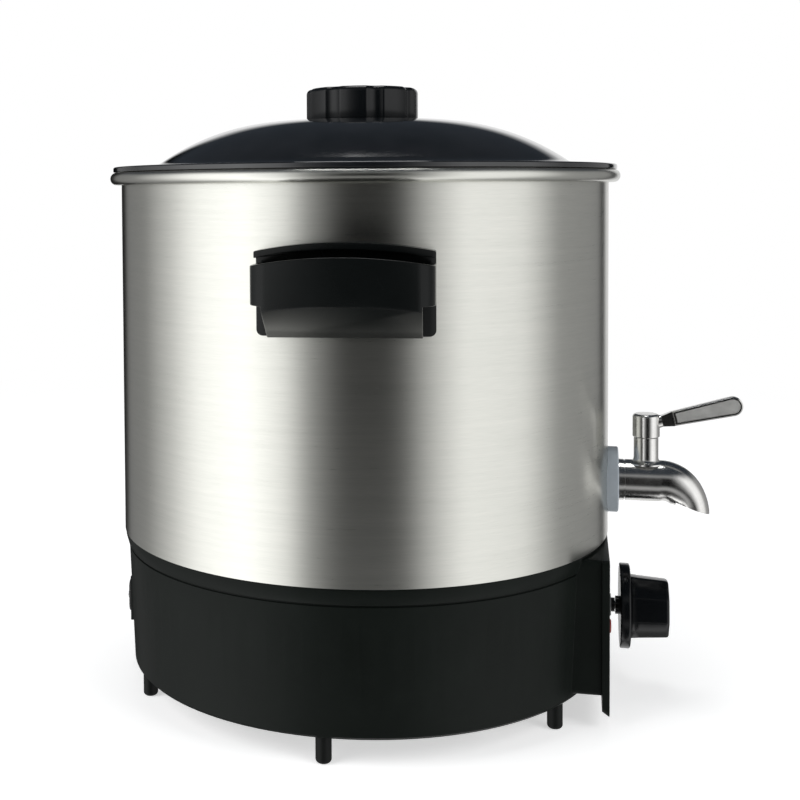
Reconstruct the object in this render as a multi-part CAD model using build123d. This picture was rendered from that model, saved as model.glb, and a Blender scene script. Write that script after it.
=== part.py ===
from build123d import *
import os
from math import acos, cos, radians, sin, sqrt, tan

# Electric all in one brewer: a stainless pot with a tap and a domed lid, on a plastic base that
# holds the heater and its thermostat. Millimetres, +Z up. The tap, the control panel and the knob
# point along +X, and the two handles stand out near -Y and +Y. The model is drawn about the pot's
# own axis, and every piece is moved by the same amount when it is written, so that the origin is
# under the middle of the whole object, on the surface that the feet stand on.

# ---------------------------------------------------------------- driving sizes
# Pot
pot_radius = 180.0
pot_wall = 1.0
pot_height = 257.3          # lower edge of the steel to the middle of the rolled rim
skirt_depth = 6.0           # the floor sits this far above the wall's lower edge
floor_thickness = 1.2
rim_roll_radius = 4.6       # outside of the rolled rim's round section
rim_roll_wall = 1.1
rim_slit = 1.6              # where the rolled sheet stops short of the wall

# Base
foot_height = 18.2          # stands the base off the surface
foot_radius = 5.25
foot_inset = 8.1            # middle of a foot inside the bottom edge of the housing
foot_count = 6
foot_first = 30.0           # degrees from the tap to the first foot
base_height = 98.3          # bottom of the housing to the pot's lower edge
base_inset = 3.1            # top of the housing's wall inside the pot's wall
base_taper = 3.2            # its bottom is this much smaller in radius
base_wall = 3.0
base_edge = 2.0             # bevel round the bottom
lip_inset = 0.7             # the flared lip inside the pot's wall
lip_height = 9.0
lip_gap = 2.0               # shadow gap between the lip and the steel
groove_width = 1.4
groove_depth = 1.2
spigot_width = 8.0          # ring of the housing that the pot's skirt drops over
boss_wall = 2.6             # plastic round a screw's hole
boss_depth = 20.0           # of the holes for the panel's screws
foot_boss_height = 14.0
cover_boss_height = 9.0

# Control box, panel and knob
box_half_width = 80.0
box_floor_height = 3.8      # above the bottom of the housing
box_corner = 4.0
panel_inset = 0.5           # the panel's face inside the pot's radius
panel_thickness = 5.0
panel_overhang = 2.0        # the panel reaches past the sides of the box
panel_drop = 6.7            # the panel reaches below the bottom of the housing
panel_corner = 5.0
panel_bevel = 0.8
knob_height = 42.1          # middle of the knob above the bottom of the housing
knob_stand_off = 9.0        # air between the panel and the knob's skirt
knob_skirt_radius = 30.2
knob_skirt_thickness = 7.3
knob_grip_radius = 23.2
knob_grip_taper = 1.8
knob_grip_length = 26.8
knob_hub_radius = 6.5
knob_hub_length = 3.0
knob_round = 2.0
lamp_offset = 48.0          # the indicator beside the knob
lamp_radius = 4.8
lamp_rim = 1.2
lamp_proud = 2.4
lamp_length = 18.0
spindle_radius = 3.0
bush_nut_thickness = 3.0
bush_wall = 2.0
thermostat_size = (34.5, 40.0, 38.0)
thermostat_plate = (1.5, 48.0, 28.0)
tag_thickness = 0.8         # flat terminals
tag_length = 8.0

# Lid
lid_thickness = 1.2
flange_inset = 2.2          # edge of the lid inside the outside of the rolled rim
flange_lip = 2.6            # the folded edge turns down this far and rests on the rim
fold_width = 1.4
dome_margin = 7.1           # flat ring between the dome and the gutter
dome_flat_rise = 0.5        # the middle of the dome is nearly flat
dome_height = 33.6          # flange to the edge of the flat middle
dome_curve = 170.0          # radius of the dome's shoulder in section
dome_fillet = 20.0          # radius where the dome meets the flange
gutter_depth = 5.0          # the flange dips inside the rim and centres the lid
gutter_inset = 5.0          # middle of the gutter inside the pot's wall
gutter_width = 5.0
gutter_floor = 1.5          # half the width of its flat bottom
lid_washer_thickness = 1.2
lid_washer_margin = 2.0     # washer outside the screw's head
lid_screw_radius = 2.5
lid_screw_head = (5.0, 3.0)

# Lid knob
grip_radius = 41.7
grip_height = 23.7
grip_lobes = 8
grip_groove_radius = 9.0
grip_groove_depth = 3.4     # how far a groove bites into the rim
grip_round = 4.0
grip_edge = 2.2             # rounding between a groove and the rim
grip_shell = 15.0           # thickness of the rim round the hollow underside
grip_crown = 8.0            # solid top over the hollow

# Handles
handle_turn = 84.4          # degrees from the tap to a handle, about the pot's axis
handle_drop = 99.8          # bottom of the handle below the middle of the rim
handle_height = 59.0
handle_half_width = 56.0
handle_plate = 4.0
handle_reach = 38.0         # front of the grip from the pot's wall
handle_wall = 4.0
handle_band_low = 21.5      # lower edge of the upright band above the handle's bottom
handle_band_high = 45.2     # its upper edge at the two ends
handle_arch = 5.8           # rise of the upper edges in the middle
handle_corner = 14.0
handle_lip_depth = 10.0
handle_lip_thickness = 4.5
handle_boss_radius = 6.0
handle_boss_length = 7.0
handle_screw_spread = 36.0
handle_screw_radius = 2.5
handle_screw_height = 33.0  # above the handle's bottom
handle_screw_head = (4.8, 3.0)
handle_washer_radius = 6.5
handle_washer_face = 4.0    # inner face of the washer inside the pot's wall

# Tap
tap_height = 36.5           # tap's axis above the pot's lower edge
tap_barrel_radius = 14.8
tap_barrel_length = 28.0
tap_groove = (4.0, 0.8)     # groove behind the collar, how far along and how wide
tap_groove_depth = 0.8
tap_washer_radius = 23.5
tap_washer_thickness = 7.2
tap_seal_radius = 19.0
tap_seal_face = 3.0
tap_neck_reach = 26.8       # vertical stem's axis from the pot's wall
tap_neck_radius = 8.7
tap_neck_top = 31.6         # top of the neck above the tap's axis
tap_neck_flare = (3.6, 6.0) # fillet at the neck's root, out and up
tap_cap_radius = 9.6
tap_cap_height = 16.6
tap_thread_radius = 10.3
tap_thread_length = 24.0
tap_nut_size = (30.0, 7.0)
tap_bore_radius = 7.0
spout_mouth_radius = 11.5
spout_reach = 59.0          # middle of the mouth from the pot's wall
spout_drop = 21.6           # lowest edge of the mouth below the tap's axis
spout_wall = 2.4
mouth_slant = 20.0          # degrees
plug_radius = 6.8
plug_floor = 3.0            # metal under the plug
plug_hole_radius = 4.6
plug_top = 3.0              # the plug stands this far above the neck
cap_gap = 0.4
lever_reach = 93.4          # tip of the lever from the pot's wall
lever_start = 45.6          # root of the flat bar from the pot's wall
lever_rise = 14.0           # degrees
lever_height = 14.0         # at the tip
lever_root_height = 10.6
lever_neck_length = 8.0
lever_neck_height = 7.6
lever_thickness = 5.0
lever_bevel = 0.9
lever_border = 1.9          # rim left round the sunk faces
lever_sunk = 0.5
lever_boss_radius = 4.4
lever_boss_length = 9.6
lever_boss_flare = 1.4
lever_shank_radius = 2.5
lever_shank_length = 11.0
lever_base = 45.6           # middle of the bar's root above the tap's axis

# False bottom
false_legs = 7.0
false_sheet = 1.5
false_gap = 7.0             # between the plate and the pot's wall
false_leg_inset = 12.0
false_leg_radius = 4.0
false_hole_radius = 3.5
false_ring_first = 24.0
false_ring_step = 18.0
false_border = 8.0          # unpierced edge of the plate

# Heater and electrics
heater_inset = 60.0         # edge of the heater plate inside the pot's radius
heater_thickness = 5.0
element_inset = 35.0        # element's ring inside the edge of the heater plate
element_radius = 4.0
element_sweep = 330.0
cold_end_length = 12.0
cold_end_radius = 1.8
bulb_radius = 3.0
bulb_length = 70.0
bulb_place = 45.0           # bulb's distance from the pot's axis
clip_half_width = 7.0
clip_half_length = 6.0
clip_wall = 2.5
capillary_radius = 0.9
cutout_radius = 8.5
cutout_height = 9.0
cutout_place = (54.0, 35.0) # from the terminal block, and to one side
cutout_ear = (17.0, 4.0, 1.2)
cutout_tab = 4.5            # offset of its two flat terminals
stud_clearance = 20.0       # studs outside the heater plate
stud_radius = 3.0
stud_count = 4
stud_first = 45.0
stud_end = 8.0              # a stud's end below the housing
stud_washer = (6.6, 1.0)
stud_nut = (5.8, 5.0)
cover_inset = 18.7          # edge of the cover inside the bottom of the housing
cover_thickness = 2.0
cover_ledge = (7.0, 2.5)    # ledge that takes the cover, its width and thickness
cover_screw_inset = 4.5
cover_screw_count = 6
vent_rows = 9
vent_size = (90.0, 5.0)
vent_pitch = 14.0
small_screw_radius = 1.5    # panel, cover and inlet screws
small_head = (3.2, 1.6)
inlet_height = 34.0         # middle of the power inlet above the bottom of the housing
inlet_pad = (62.0, 34.0, 3.0)
inlet_flange = (52.0, 26.0, 3.0)
inlet_body = (28.0, 20.0, 26.0)
inlet_wall = 2.0
inlet_socket = 18.0         # depth of the recess that takes the connector
inlet_spread = 20.0         # screws to either side
inlet_pins_at = ((-7.0, -2.0), (0.0, 2.0), (7.0, -2.0))
inlet_pin = (2.0, 4.0)
inlet_pin_range = (4.0, 34.0)
block_size = (16.0, 48.0, 16.0)
block_distance = 42.7       # from the inlet's pins to the terminal block
block_pitch = 15.0
block_hole_radius = 2.0
block_screw = (3.0, 2.5)
wire_radius = 1.3
wire_bend = 4.0
wire_wide_bend = 8.0
wire_end_gap = 0.2

# Fits and gaps
running_gap = 0.05          # radial, between a turning piece and its bore
assembly_gap = 0.4          # between pieces that are only put together
screw_gap = 0.3             # radial, round a screw
thin_gap = 0.1

# ---------------------------------------------------------------- heights and places worked out
base_bottom = foot_height
pot_bottom = base_bottom + base_height
floor_under = pot_bottom + skirt_depth
floor_top = floor_under + floor_thickness
rim_middle = pot_bottom + pot_height
rim_top = rim_middle + rim_roll_radius
pot_inside = pot_radius - pot_wall
rim_circle = pot_inside + rim_roll_radius
flange_radius = rim_circle + rim_roll_radius - flange_inset
flange_top = rim_top + flange_lip + lid_thickness
gutter_radius = pot_inside - gutter_inset
dome_top = flange_top + dome_height + dome_flat_rise

base_top_radius = pot_radius - base_inset
base_bottom_radius = base_top_radius - base_taper
lip_radius = pot_radius - lip_inset
lip_top = pot_bottom - lip_gap
lip_bottom = lip_top - lip_height
wall_top = lip_bottom - groove_width
foot_circle = base_bottom_radius - foot_inset
foot_plug_radius = foot_radius - 1.2
cover_radius = base_bottom_radius - cover_inset
cover_screw_circle = cover_radius - cover_screw_inset
cover_top = base_bottom + cover_thickness
ledge_top = cover_top + cover_ledge[1]

box_floor = base_bottom + box_floor_height
box_roof = lip_top
panel_front = pot_radius - panel_inset
panel_back = panel_front - panel_thickness
panel_bottom = base_bottom - panel_drop
panel_top = box_roof
knob_axis = base_bottom + knob_height
knob_back = panel_front + knob_stand_off
spindle_depth = knob_skirt_thickness + knob_grip_length / 2
bush_radius = spindle_radius + bush_wall

handle_bottom = rim_middle - handle_drop
tap_axis = pot_bottom + tap_height
tap_start = pot_radius + tap_washer_thickness
tap_joint = tap_start + tap_barrel_length
neck_x = pot_radius + tap_neck_reach

heater_radius = pot_radius - heater_inset
heater_under = floor_under - heater_thickness
element_ring_radius = heater_radius - element_inset
element_height = heater_under - element_radius - thin_gap
bulb_height = heater_under - bulb_radius - thin_gap
stud_circle = heater_radius + stud_clearance
inlet_face = -(base_bottom_radius + inlet_pad[2])
inlet_axis = base_bottom + inlet_height
pins_end = inlet_face + inlet_pin_range[1]
block_start = pins_end + block_distance
block_end = block_start + block_size[0]
block_axis = cover_top + block_size[2] / 2
frame_shift = (pot_radius + lever_reach - rim_circle - rim_roll_radius) / 2


# ---------------------------------------------------------------- helpers
def tube(outer, inner, low, high):
    """An upright ring about the pot's axis."""
    return Pos(0, 0, low) * extrude(Circle(outer) - Circle(inner), high - low)


def post(radius, low, high, x=0.0, y=0.0):
    """An upright round bar."""
    return Pos(x, y, low) * extrude(Circle(radius), high - low)


def shaft(radius, start, end, y=0.0, z=0.0):
    """A round bar along X."""
    return Pos(start, y, z) * extrude(Plane.YZ * Circle(radius), end - start)


def hexagon(corner, start, end, y=0.0, z=0.0):
    """A hexagonal bar along X, corner being the distance from its axis to an edge."""
    return Pos(start, y, z) * extrude(Plane.YZ * RegularPolygon(corner, 6), end - start)


def block(x_range, y_range, z_range):
    """A box between two planes along each axis."""
    size = [high - low for low, high in (x_range, y_range, z_range)]
    middle = [(high + low) / 2 for low, high in (x_range, y_range, z_range)]
    return Pos(*middle) * Box(*size)


def middle_block(x_range, y, width, z, height):
    """A box along X, set out from the middle of its cross section."""
    return block(x_range, (y - width / 2, y + width / 2), (z - height / 2, z + height / 2))


def turned(*points):
    """A solid turned about the pot's axis from an outline of radius and height."""
    return revolve(Plane.XZ * make_face(Polyline(*points, close=True)), Axis.Z)


def side_sheet(outline, half_width):
    """A solid of an outline of X and height, spread evenly to both sides of the XZ plane."""
    return extrude(Plane.XZ * make_face(outline), half_width, both=True)


def around(count, circle, first=0.0):
    """Places spaced evenly on a circle, as x and y."""
    for i in range(count):
        angle = radians(first + 360.0 * i / count)
        yield circle * cos(angle), circle * sin(angle)


def wire_run(points, bend, radius):
    """A round wire along straight runs joined by arcs."""
    path = FilletPolyline(*points, radius=bend)
    start = Plane(origin=path @ 0, z_dir=path % 0)
    return sweep(start * Circle(radius), path=path)


def group(shapes):
    """Several separate solids in one node."""
    return Compound([solid for shape in shapes for solid in shape.solids()])


def foot_places():
    return around(foot_count, foot_circle, foot_first)


def stud_places():
    return around(stud_count, stud_circle, stud_first)


def cover_screw_places():
    return around(cover_screw_count, cover_screw_circle)


# ---------------------------------------------------------------- pot
def pot():
    wall = tube(pot_radius, pot_inside, pot_bottom, rim_middle)
    floor = Pos(0, 0, floor_under) * extrude(Circle(pot_inside + pot_wall / 2), floor_thickness)
    # The rim's roll stops short of the wall, as a curled sheet does.
    roll = Circle(rim_roll_radius) - Circle(rim_roll_radius - rim_roll_wall)
    slit = Rectangle(rim_slit, 3 * rim_roll_wall)
    roll -= Pos(-rim_roll_radius / 3, -rim_roll_radius) * slit
    rim = revolve(Plane.XZ * Pos(rim_circle, rim_middle) * roll, Axis.Z)
    body = wall + floor + rim
    hole = tap_thread_radius + assembly_gap
    body -= shaft(hole, pot_radius / 2, pot_radius + 1, 0, tap_axis)
    for side in (-1, 1):
        for spread in (-1, 1):
            body -= on_handle(side) * handle_screw_bar(spread, handle_screw_radius + screw_gap)
    return body


def pot_studs():
    return group(
        post(stud_radius, base_bottom - stud_end, floor_under, x, y) for x, y in stud_places()
    )


def stud_washers():
    outer, thickness = stud_washer
    ring = Circle(outer) - Circle(stud_radius + thin_gap)
    return group(
        Pos(x, y, base_bottom - thickness) * extrude(ring, thickness) for x, y in stud_places()
    )


def stud_nuts():
    corner, thickness = stud_nut
    low = base_bottom - stud_washer[1] - thickness
    ring = RegularPolygon(corner, 6) - Circle(stud_radius + thin_gap)
    return group(Pos(x, y, low) * extrude(ring, thickness) for x, y in stud_places())


def false_bottom():
    """The perforated plate that stands in the pot and keeps solids off the heated floor."""
    plate_radius = pot_inside - false_gap
    plate = Circle(plate_radius)
    rings = int((plate_radius - false_border - false_ring_first) / false_ring_step) + 1
    for ring in range(rings):
        circle = false_ring_first + false_ring_step * ring
        # Each ring is turned a little, so that its holes don't line up with the last.
        for x, y in around(6 * (ring + 1), circle, 7.0 * ring):
            plate -= Pos(x, y) * Circle(false_hole_radius)
    under = floor_top + false_legs
    plate = Pos(0, 0, under) * extrude(plate, false_sheet)
    for x, y in around(4, plate_radius - false_leg_inset, 45):
        plate += post(false_leg_radius, floor_top, under, x, y)
    return plate


# ---------------------------------------------------------------- handles
def on_handle(side):
    """Turns a piece drawn on +X to the handle's place: -1 near -Y, 1 near +Y."""
    return Rot(0, 0, -handle_turn if side < 0 else 180 - handle_turn)


def arched(half_width, low, high, arch):
    """An outline, as width and height, whose top rises by arch in the middle."""
    left, right = (-half_width, high), (half_width, high)
    top = ThreePointArc(left, (0, high + arch), right)
    return make_face(top + Polyline(right, (half_width, low), (-half_width, low), left))


def handle_screw_bar(spread, radius):
    """Clearance for a screw, from well inside the pot to the end of the handle's boss."""
    return shaft(
        radius,
        pot_inside - 3 * handle_washer_face,
        pot_radius + handle_plate + handle_boss_length,
        spread * handle_screw_spread,
        handle_bottom + handle_screw_height,
    )


def handle_plan(inset):
    """Outline of the grip from above, drawn in by inset."""
    front = pot_radius + handle_reach
    width = 2 * (handle_half_width - inset)
    sheet = Circle(front - inset) & Pos(front, 0) * Rectangle(2 * handle_reach, width)
    far = sorted(sheet.vertices(), key=lambda v: -v.X)[:2]
    return fillet(far, handle_corner - inset)


def handle(side):
    front = pot_radius + handle_reach
    wall_face = pot_radius + thin_gap
    plate_face = wall_face + handle_plate
    low = handle_bottom
    high = low + handle_height + handle_arch
    band_low = low + handle_band_low
    plate_top = low + handle_height - handle_arch
    start = pot_radius - handle_reach / 2
    deep = 2 * handle_reach

    # Back plate, curved to the pot's wall, with a ledge along its arched top.
    outline = arched(handle_half_width, low, plate_top, handle_arch)
    lower = sorted(outline.vertices(), key=lambda v: v.Y)[:2]
    outline = fillet(lower, handle_wall)
    plate = Pos(start, 0, 0) * extrude(Plane.YZ * outline, deep)
    plate &= tube(plate_face, wall_face, low, high)
    ledge = arched(handle_half_width, plate_top - handle_lip_thickness, plate_top, handle_arch)
    ledge -= Pos(0, -handle_lip_thickness) * arched(
        handle_half_width + 1, low, plate_top, handle_arch
    )
    ledge = Pos(start, 0, 0) * extrude(Plane.YZ * ledge, deep)
    ledge &= tube(plate_face + handle_lip_depth, wall_face, low, high)

    # Upright band that bends back to the wall at both ends.
    band = extrude(handle_plan(0) - handle_plan(handle_wall), high - low)
    band = Pos(0, 0, low) * band & tube(front + 1, wall_face, low, high)
    window = arched(handle_half_width + 1, band_low, low + handle_band_high, handle_arch)
    band &= Pos(start, 0, 0) * extrude(Plane.YZ * window, deep)

    # Sloping apron from the band's lower edge back to the foot of the plate, closed by a gusset
    # at each end.
    back = plate_face - handle_plate / 2
    edge = front - handle_wall / 4
    half_top = handle_half_width - 2 * handle_wall
    slope = Polyline(
        (back, low), (plate_face + 1, low), (edge, band_low), (edge, band_low + handle_wall),
        (front - handle_wall, band_low + handle_wall), (back, low + handle_wall), close=True,
    )
    skirt = side_sheet(slope, half_top)
    cheek = Polyline(
        (back, low), (plate_face + 1, low), (edge, band_low), (edge, band_low + 1),
        (back, band_low + 1), close=True,
    )
    for end in (-1, 1):
        place = end * (half_top - handle_wall / 2)
        skirt += Pos(0, place, 0) * side_sheet(cheek, handle_wall / 2)
    skirt &= Pos(0, 0, low) * extrude(handle_plan(0), handle_height) - post(wall_face, low - 1, high)

    height = low + handle_screw_height
    bosses = Part()
    for spread in (-1, 1):
        end = plate_face + handle_boss_length
        bosses += shaft(handle_boss_radius, wall_face + 1, end, spread * handle_screw_spread, height)
    bosses -= post(wall_face, low - 1, high)

    body = plate + ledge + band + skirt + bosses
    for spread in (-1, 1):
        body -= handle_screw_bar(spread, handle_screw_radius + screw_gap)
    return on_handle(side) * body


def handle_screw_places():
    """Each screw's side of the pot, its place along Y on an unturned handle, and its height."""
    for side in (-1, 1):
        for spread in (-1, 1):
            yield side, spread * handle_screw_spread, handle_bottom + handle_screw_height


def handle_screws():
    """Pan head screws driven from inside the pot into the handles."""
    solids = []
    head_radius, head_height = handle_screw_head
    face = pot_inside - handle_washer_face - handle_screw_head[1]
    end = pot_radius + handle_plate + handle_boss_length - 1
    for side, y, z in handle_screw_places():
        screw = shaft(handle_screw_radius, face, end, y, z)
        screw += shaft(head_radius, face - head_height, face, y, z)
        solids.append(on_handle(side) * screw)
    return group(solids)


def handle_washers():
    """Sealing washers under the screw heads, shaped to the curve of the wall."""
    solids = []
    face = pot_inside - handle_washer_face - handle_screw_head[1]
    for side, y, z in handle_screw_places():
        washer = shaft(handle_washer_radius, face, pot_radius, y, z)
        washer -= shaft(handle_screw_radius + thin_gap, face - 1, pot_radius, y, z)
        washer &= post(pot_inside - thin_gap, 0, dome_top)
        solids.append(on_handle(side) * washer)
    return group(solids)


# ---------------------------------------------------------------- lid
def lid_section(inset):
    """Outline of the dome from the axis to its foot, drawn in by inset from its upper face."""
    shoulder = dome_curve - inset
    hollow = dome_fillet + inset
    # The shoulder arc and the fillet touch where both slope by the same angle.
    reach = dome_curve + dome_fillet
    slope = acos((reach - dome_height) / reach)
    foot = gutter_radius - gutter_width - dome_margin
    flat = foot - reach * sin(slope)
    base = flange_top - inset
    crest = base + dome_height

    def on_shoulder(angle):
        return flat + shoulder * sin(angle), crest - shoulder * (1 - cos(angle))

    def on_fillet(angle):
        return foot - hollow * sin(angle), base + hollow * (1 - cos(angle))

    lines = Line((0, crest + dome_flat_rise), (flat, crest))
    lines += ThreePointArc((flat, crest), on_shoulder(slope / 2), on_shoulder(slope))
    lines += ThreePointArc(on_shoulder(slope), on_fillet(slope / 2), (foot, base))
    return lines, (foot, base)


def lid_dome():
    upper, (foot, top_face) = lid_section(0)
    lower, (_, under_face) = lid_section(lid_thickness)
    inner = gutter_radius - gutter_width
    outer = gutter_radius + gutter_width
    edge = flange_radius - fold_width
    under_floor = gutter_floor - lid_thickness / 3
    ease = lid_thickness / 3
    above = Polyline(
        (foot, top_face), (inner, top_face), (gutter_radius - gutter_floor, top_face - gutter_depth),
        (gutter_radius + gutter_floor, top_face - gutter_depth), (outer, top_face),
        (edge, top_face), (flange_radius, top_face - 2 * ease),
        (flange_radius, under_face - flange_lip), (edge, under_face - flange_lip),
        (edge, under_face), (outer - ease, under_face),
        (gutter_radius + under_floor, under_face - gutter_depth),
        (gutter_radius - under_floor, under_face - gutter_depth), (inner + ease, under_face),
        (foot, under_face),
    )
    close = Line((0, dome_top), (0, dome_top - lid_thickness))
    dome = revolve(Plane.XZ * make_face(upper + above + lower + close), Axis.Z)
    return dome - post(lid_screw_radius + screw_gap, rim_top, dome_top + 1)


def lid_knob():
    """A fluted knob with rounded edges and a hollow underside."""
    disc = Circle(grip_radius)
    circle = grip_radius + grip_groove_radius - grip_groove_depth
    for x, y in around(grip_lobes, circle, 180 / grip_lobes):
        disc -= Pos(x, y) * Circle(grip_groove_radius)
    disc = fillet(disc.vertices(), grip_edge)
    body = extrude(disc, grip_height)
    body = fillet(body.faces().sort_by(Axis.Z)[-1].edges(), grip_round)
    deep = grip_height - grip_crown
    hollow = Circle(grip_radius - grip_shell) - Circle(grip_crown)
    body -= extrude(hollow, deep)
    body -= extrude(Circle(lid_screw_radius + thin_gap), deep)
    return Pos(0, 0, dome_top + thin_gap) * body


def lid_screw_seat():
    """Underside of the washer that the screw's head bears on."""
    return dome_top - lid_thickness - thin_gap - lid_washer_thickness


def lid_screw():
    head_radius, head_height = lid_screw_head
    low = lid_screw_seat() - head_height
    screw = post(lid_screw_radius, low, dome_top + grip_height - grip_crown - 1)
    return screw + post(head_radius, low, lid_screw_seat())


def lid_washer():
    low = lid_screw_seat()
    bore = lid_screw_radius + thin_gap
    outer = lid_screw_head[0] + lid_washer_margin
    return tube(outer, bore, low, low + lid_washer_thickness)


# ---------------------------------------------------------------- base
def base_outside():
    """The housing as a full solid: tapered wall, groove, flared lip and the pot's spigot."""
    spigot = pot_inside - assembly_gap
    return turned(
        (0, base_bottom),
        (base_bottom_radius - base_edge, base_bottom),
        (base_bottom_radius, base_bottom + base_edge),
        (base_top_radius, wall_top),
        (base_top_radius - groove_depth, wall_top),
        (base_top_radius - groove_depth, lip_bottom),
        (base_top_radius + groove_depth / 3, lip_bottom),
        (lip_radius, lip_top - lip_gap),
        (lip_radius - lip_inset, lip_top),
        (spigot, lip_top),
        (spigot, floor_under),
        (0, floor_under),
    )


def base_cavity():
    """Space in the housing: open above for the heater, and below down to the cover's ledge."""
    inner_bottom = base_bottom_radius - base_wall
    inner_top = base_top_radius - base_wall
    spigot = pot_inside - assembly_gap - spigot_width
    space = turned(
        (0, ledge_top), (inner_bottom, ledge_top), (inner_top, lip_bottom - 2 * base_wall),
        (spigot, lip_bottom), (spigot, floor_under + 1), (0, floor_under + 1),
    )
    space += post(cover_radius - cover_ledge[0], base_bottom - 1, ledge_top + 1)
    return space + post(cover_radius + assembly_gap, base_bottom - 1, cover_top)


def control_box(inset, start, end):
    """The flat box that carries the panel, drawn in by inset."""
    profile = Rectangle(2 * (box_half_width - inset), box_roof - box_floor - 2 * inset)
    if not inset:
        profile = fillet(profile.vertices(), box_corner)
    middle = (box_roof + box_floor) / 2
    return Pos(start, 0, middle) * extrude(Plane.YZ * profile, end - start)


def base_housing():
    box_start = panel_back / 2
    body = base_outside() + control_box(0, box_start, panel_back) - base_cavity()
    body -= control_box(base_wall, box_start + base_wall, panel_front)

    # Seat for the panel, which interrupts the lip in front.
    side = box_half_width + panel_overhang + thin_gap
    body -= block((panel_back, pot_radius), (-side, side), (panel_bottom, panel_top + thin_gap))

    # Bosses for the panel's screws, the feet and the cover's screws.
    hole = small_screw_radius + thin_gap
    for y, z in panel_screw_places():
        boss = shaft(hole + boss_wall, panel_back - boss_depth - base_wall, panel_back, y, z)
        body += boss - shaft(hole, panel_back - boss_depth, panel_back, y, z)
    inside = post(base_bottom_radius - base_wall + 1, 0, pot_bottom)
    foot_boss_top = ledge_top + foot_boss_height
    for x, y in foot_places():
        body += post(foot_plug_radius + base_wall, ledge_top - 1, foot_boss_top, x, y) & inside
        body -= post(foot_plug_radius, base_bottom - 1, foot_boss_top - base_edge, x, y)
    for x, y in cover_screw_places():
        body += post(hole + boss_wall, ledge_top - 1, ledge_top + cover_boss_height, x, y)
        body -= post(hole, base_bottom, ledge_top + cover_boss_height - 1, x, y)

    # Flat pad and cut-out for the power inlet at the back.
    width, height, proud = inlet_pad
    pad = middle_block((inlet_face, inlet_face + 4 * proud), 0, width, inlet_axis, height)
    body += pad - post(base_bottom_radius - base_wall, 0, floor_under)
    width, height, _ = inlet_body
    opening = (inlet_face - 1, inlet_face / 2)
    body -= middle_block(
        opening, 0, width + 2 * assembly_gap, inlet_axis, height + 2 * assembly_gap
    )
    for y in (-inlet_spread, inlet_spread):
        body -= shaft(hole, inlet_face - 1, inlet_face + 3 * proud, y, inlet_axis)
    return body


def panel_screw_places():
    """Where the panel's screws enter the four corners of the box."""
    inset = 2 * base_wall
    wide = box_half_width - inset
    return [(y, z) for y in (-wide, wide) for z in (box_floor + inset, box_roof - inset)]


def control_panel():
    outline = Rectangle(2 * (box_half_width + panel_overhang), panel_top - panel_bottom)
    outline = fillet(outline.vertices(), panel_corner)
    plate = extrude(Plane.YZ * outline, panel_thickness)
    plate = chamfer(plate.faces().sort_by(Axis.X)[-1].edges(), panel_bevel)
    plate = Pos(panel_back, 0, (panel_top + panel_bottom) / 2) * plate
    through = (panel_back - 1, panel_front + 1)
    plate -= shaft(bush_radius + thin_gap, *through, 0, knob_axis)
    plate -= shaft(lamp_radius, *through, -lamp_offset, knob_axis)
    for y, z in panel_screw_places():
        plate -= shaft(small_screw_radius + screw_gap, *through, y, z)
        sink = panel_front - small_head[1] - thin_gap
        plate -= shaft(small_head[0] + thin_gap, sink, panel_front + 1, y, z)
    return plate


def panel_screws():
    radius, height = small_head
    seat = panel_front - height - thin_gap
    return group(
        shaft(small_screw_radius, panel_back - boss_depth + 2, seat + 1, y, z)
        + shaft(radius, seat, seat + height, y, z)
        for y, z in panel_screw_places()
    )


def bottom_cover():
    plate = Circle(cover_radius)
    for x, y in cover_screw_places():
        plate -= Pos(x, y) * Circle(small_screw_radius + screw_gap)
    for x, y in stud_places():
        plate -= Pos(x, y) * Circle(stud_radius + screw_gap)
    for row in range(vent_rows):
        plate -= Pos(0, vent_pitch * (row - (vent_rows - 1) / 2)) * SlotOverall(*vent_size)
    return Pos(0, 0, base_bottom) * extrude(plate, cover_thickness)


def cover_screws():
    radius, height = small_head
    top = ledge_top + cover_boss_height - 2
    return group(
        post(small_screw_radius, base_bottom - height, top, x, y)
        + post(radius, base_bottom - height, base_bottom, x, y)
        for x, y in cover_screw_places()
    )


def foot(x, y):
    """A round stub with a rounded end and a plug that pushes into the base."""
    stub = extrude(Circle(foot_radius), foot_height)
    stub = fillet(stub.faces().sort_by(Axis.Z)[0].edges(), foot_radius / 2)
    plug_length = ledge_top - base_bottom + foot_boss_height - 2 * base_edge
    plug = extrude(Circle(foot_plug_radius - thin_gap), plug_length)
    return Pos(x, y, 0) * (stub + Pos(0, 0, foot_height) * plug)


# ---------------------------------------------------------------- knob and thermostat
def thermostat_knob():
    skirt = chamfer(extrude(Circle(knob_skirt_radius), knob_skirt_thickness).edges(), panel_bevel)
    end = Pos(0, 0, knob_grip_length) * Circle(knob_grip_radius - knob_grip_taper)
    grip = loft([Circle(knob_grip_radius), end])
    grip = fillet(grip.faces().sort_by(Axis.Z)[-1].edges(), knob_round)
    hub = extrude(Circle(knob_hub_radius), -knob_hub_length)
    body = skirt + Pos(0, 0, knob_skirt_thickness) * grip + hub
    bore = extrude(Circle(spindle_radius + running_gap), knob_hub_length + spindle_depth)
    body -= Pos(0, 0, -knob_hub_length) * bore
    return Pos(knob_back, 0, knob_axis) * Rot(0, 90, 0) * body


def spindle_start():
    """Inner end of the spindle's bore in the thermostat."""
    return panel_back - thermostat_size[0] * 2 / 3


def thermostat_spindle():
    start = spindle_start() + 1
    return shaft(spindle_radius, start, knob_back + spindle_depth - assembly_gap, 0, knob_axis)


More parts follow.
